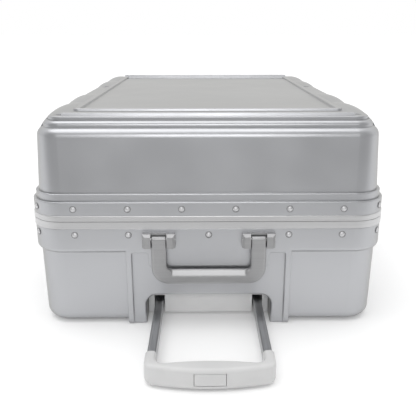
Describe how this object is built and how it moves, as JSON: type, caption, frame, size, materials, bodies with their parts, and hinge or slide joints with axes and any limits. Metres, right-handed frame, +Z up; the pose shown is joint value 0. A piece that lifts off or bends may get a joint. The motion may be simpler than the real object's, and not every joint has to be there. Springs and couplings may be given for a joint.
{
  "type": "hard shell suitcase on wheels",
  "caption": "Hard shell frame suitcase with hinged lid, latches, carry handles, sliding trolley with release button and swivel casters, lying on its back.",
  "frame": {"origin": "on the floor under the middle of the object as it lies on its back with the trolley part way out", "axes": "+X across the case towards the latches, +Y from the trolley end to the caster end, +Z up from the back to the lid"},
  "size_m": [0.495, 0.9062, 0.2865],
  "materials": {
    "shell": "satin silver polycarbonate",
    "frame": "satin anodised aluminium",
    "rivet": "polished rivet heads",
    "handle": "satin grey with bright edges",
    "pin": "plain steel",
    "housing": "light grey moulding",
    "grip": "light grey moulding",
    "tube": "satin anodised aluminium",
    "inner_plastic": "black moulding",
    "latch": "satin silver",
    "lock": "satin steel",
    "dial": "black moulding",
    "hinge": "satin aluminium",
    "foot": "dark grey moulding",
    "caster": "dark grey moulding",
    "tyre": "black elastomer",
    "seal": "black elastomer",
    "lining": "grey woven lining"
  },
  "bodies": {
    "base": {"base_shell": "shell", "base_frame": "frame", "frame_seal": "seal", "base_rivets": "rivet", "base_lining": "lining", "trolley_housing": "housing", "trolley_cover": "housing", "trolley_outer_tubes": "tube", "trolley_foot": "inner_plastic", "top_handle_brackets": "handle", "top_handle_pins": "pin", "side_handle_brackets": "handle", "side_handle_pins": "pin", "latch_housing_front": "latch", "latch_housing_rear": "latch", "latch_pins": "pin", "lock_spindle": "lock", "lock_cylinder": "lock", "hinge_base_leaves": "hinge", "hinge_pins": "pin", "base_feet": "foot", "base_caster_housings": "caster"},
    "lid": {"lid_shell": "shell", "lid_frame": "frame", "lid_rivets": "rivet", "lid_lining": "lining", "latch_strikes": "latch", "hinge_lid_leaves": "hinge", "lid_feet": "foot", "lid_caster_housings": "caster"},
    "top_handle": {"top_handle": "handle"},
    "side_handle": {"side_handle": "handle"},
    "trolley": {"trolley_inner_tubes": "tube", "tube_shoes": "inner_plastic", "trolley_grip": "grip"},
    "button": {"trolley_button": "grip", "release_yoke": "inner_plastic"},
    "latch_front": {"latch_lever_front": "latch"},
    "latch_rear": {"latch_lever_rear": "latch"},
    "dial_1": {"lock_dial_1": "dial"},
    "dial_2": {"lock_dial_2": "dial"},
    "dial_3": {"lock_dial_3": "dial"},
    "caster_base_left": {"caster_fork_base_left": "caster", "caster_axle_base_left": "pin"},
    "wheel_base_left": {"caster_hub_base_left": "caster", "caster_tyre_base_left": "tyre"},
    "caster_base_right": {"caster_fork_base_right": "caster", "caster_axle_base_right": "pin"},
    "wheel_base_right": {"caster_hub_base_right": "caster", "caster_tyre_base_right": "tyre"},
    "caster_lid_left": {"caster_fork_lid_left": "caster", "caster_axle_lid_left": "pin"},
    "wheel_lid_left": {"caster_hub_lid_left": "caster", "caster_tyre_lid_left": "tyre"},
    "caster_lid_right": {"caster_fork_lid_right": "caster", "caster_axle_lid_right": "pin"},
    "wheel_lid_right": {"caster_hub_lid_right": "caster", "caster_tyre_lid_right": "tyre"}
  },
  "joints": [
    {"name": "lid_hinge", "type": "hinge", "parent": "base", "child": "lid", "pos_m": [-0.241, 0.05015, 0.14975], "axis": [0, -1, 0], "range_deg": [0, 105]},
    {"name": "top_handle_swing", "type": "hinge", "parent": "base", "child": "top_handle", "pos_m": [0, -0.30745, 0.128], "axis": [-1, 0, 0], "range_deg": [0, 95]},
    {"name": "side_handle_swing", "type": "hinge", "parent": "base", "child": "side_handle", "pos_m": [0.2426, 0.05015, 0.128], "axis": [0, -1, 0], "range_deg": [0, 95]},
    {"name": "trolley_slide", "type": "slide", "parent": "base", "child": "trolley", "axis": [0, 1, 0], "range_m": [-0.245, 0.156]},
    {"name": "button_press", "type": "slide", "parent": "trolley", "child": "button", "axis": [0, 1, 0], "range_m": [0, 0.0035], "stiffness_N_per_m": 400},
    {"name": "latch_front_swing", "type": "hinge", "parent": "base", "child": "latch_front", "pos_m": [0.2414, -0.13985, 0.117], "axis": [0, 1, 0], "range_deg": [0, 85]},
    {"name": "latch_rear_swing", "type": "hinge", "parent": "base", "child": "latch_rear", "pos_m": [0.2414, 0.24015, 0.117], "axis": [0, 1, 0], "range_deg": [0, 85]},
    {"name": "dial_1_turn", "type": "hinge", "parent": "base", "child": "dial_1", "pos_m": [0.241, -0.12435, 0.123], "axis": [0, 1, 0], "continuous": true},
    {"name": "dial_2_turn", "type": "hinge", "parent": "base", "child": "dial_2", "pos_m": [0.241, -0.11535, 0.123], "axis": [0, 1, 0], "continuous": true},
    {"name": "dial_3_turn", "type": "hinge", "parent": "base", "child": "dial_3", "pos_m": [0.241, -0.10635, 0.123], "axis": [0, 1, 0], "continuous": true},
    {"name": "caster_base_left_swivel", "type": "hinge", "parent": "base", "child": "caster_base_left", "pos_m": [-0.172, 0.40415, 0.058], "axis": [0, 1, 0], "continuous": true},
    {"name": "wheel_base_left_spin", "type": "hinge", "parent": "caster_base_left", "child": "wheel_base_left", "pos_m": [-0.172, 0.43115, 0.042], "axis": [1, 0, 0], "continuous": true},
    {"name": "caster_base_right_swivel", "type": "hinge", "parent": "base", "child": "caster_base_right", "pos_m": [0.172, 0.40415, 0.058], "axis": [0, 1, 0], "continuous": true},
    {"name": "wheel_base_right_spin", "type": "hinge", "parent": "caster_base_right", "child": "wheel_base_right", "pos_m": [0.172, 0.43115, 0.042], "axis": [1, 0, 0], "continuous": true},
    {"name": "caster_lid_left_swivel", "type": "hinge", "parent": "lid", "child": "caster_lid_left", "pos_m": [-0.172, 0.40415, 0.222], "axis": [0, 1, 0], "continuous": true},
    {"name": "wheel_lid_left_spin", "type": "hinge", "parent": "caster_lid_left", "child": "wheel_lid_left", "pos_m": [-0.172, 0.43115, 0.206], "axis": [1, 0, 0], "continuous": true},
    {"name": "caster_lid_right_swivel", "type": "hinge", "parent": "lid", "child": "caster_lid_right", "pos_m": [0.172, 0.40415, 0.222], "axis": [0, 1, 0], "continuous": true},
    {"name": "wheel_lid_right_spin", "type": "hinge", "parent": "caster_lid_right", "child": "wheel_lid_right", "pos_m": [0.172, 0.43115, 0.206], "axis": [1, 0, 0], "continuous": true}
  ]
}
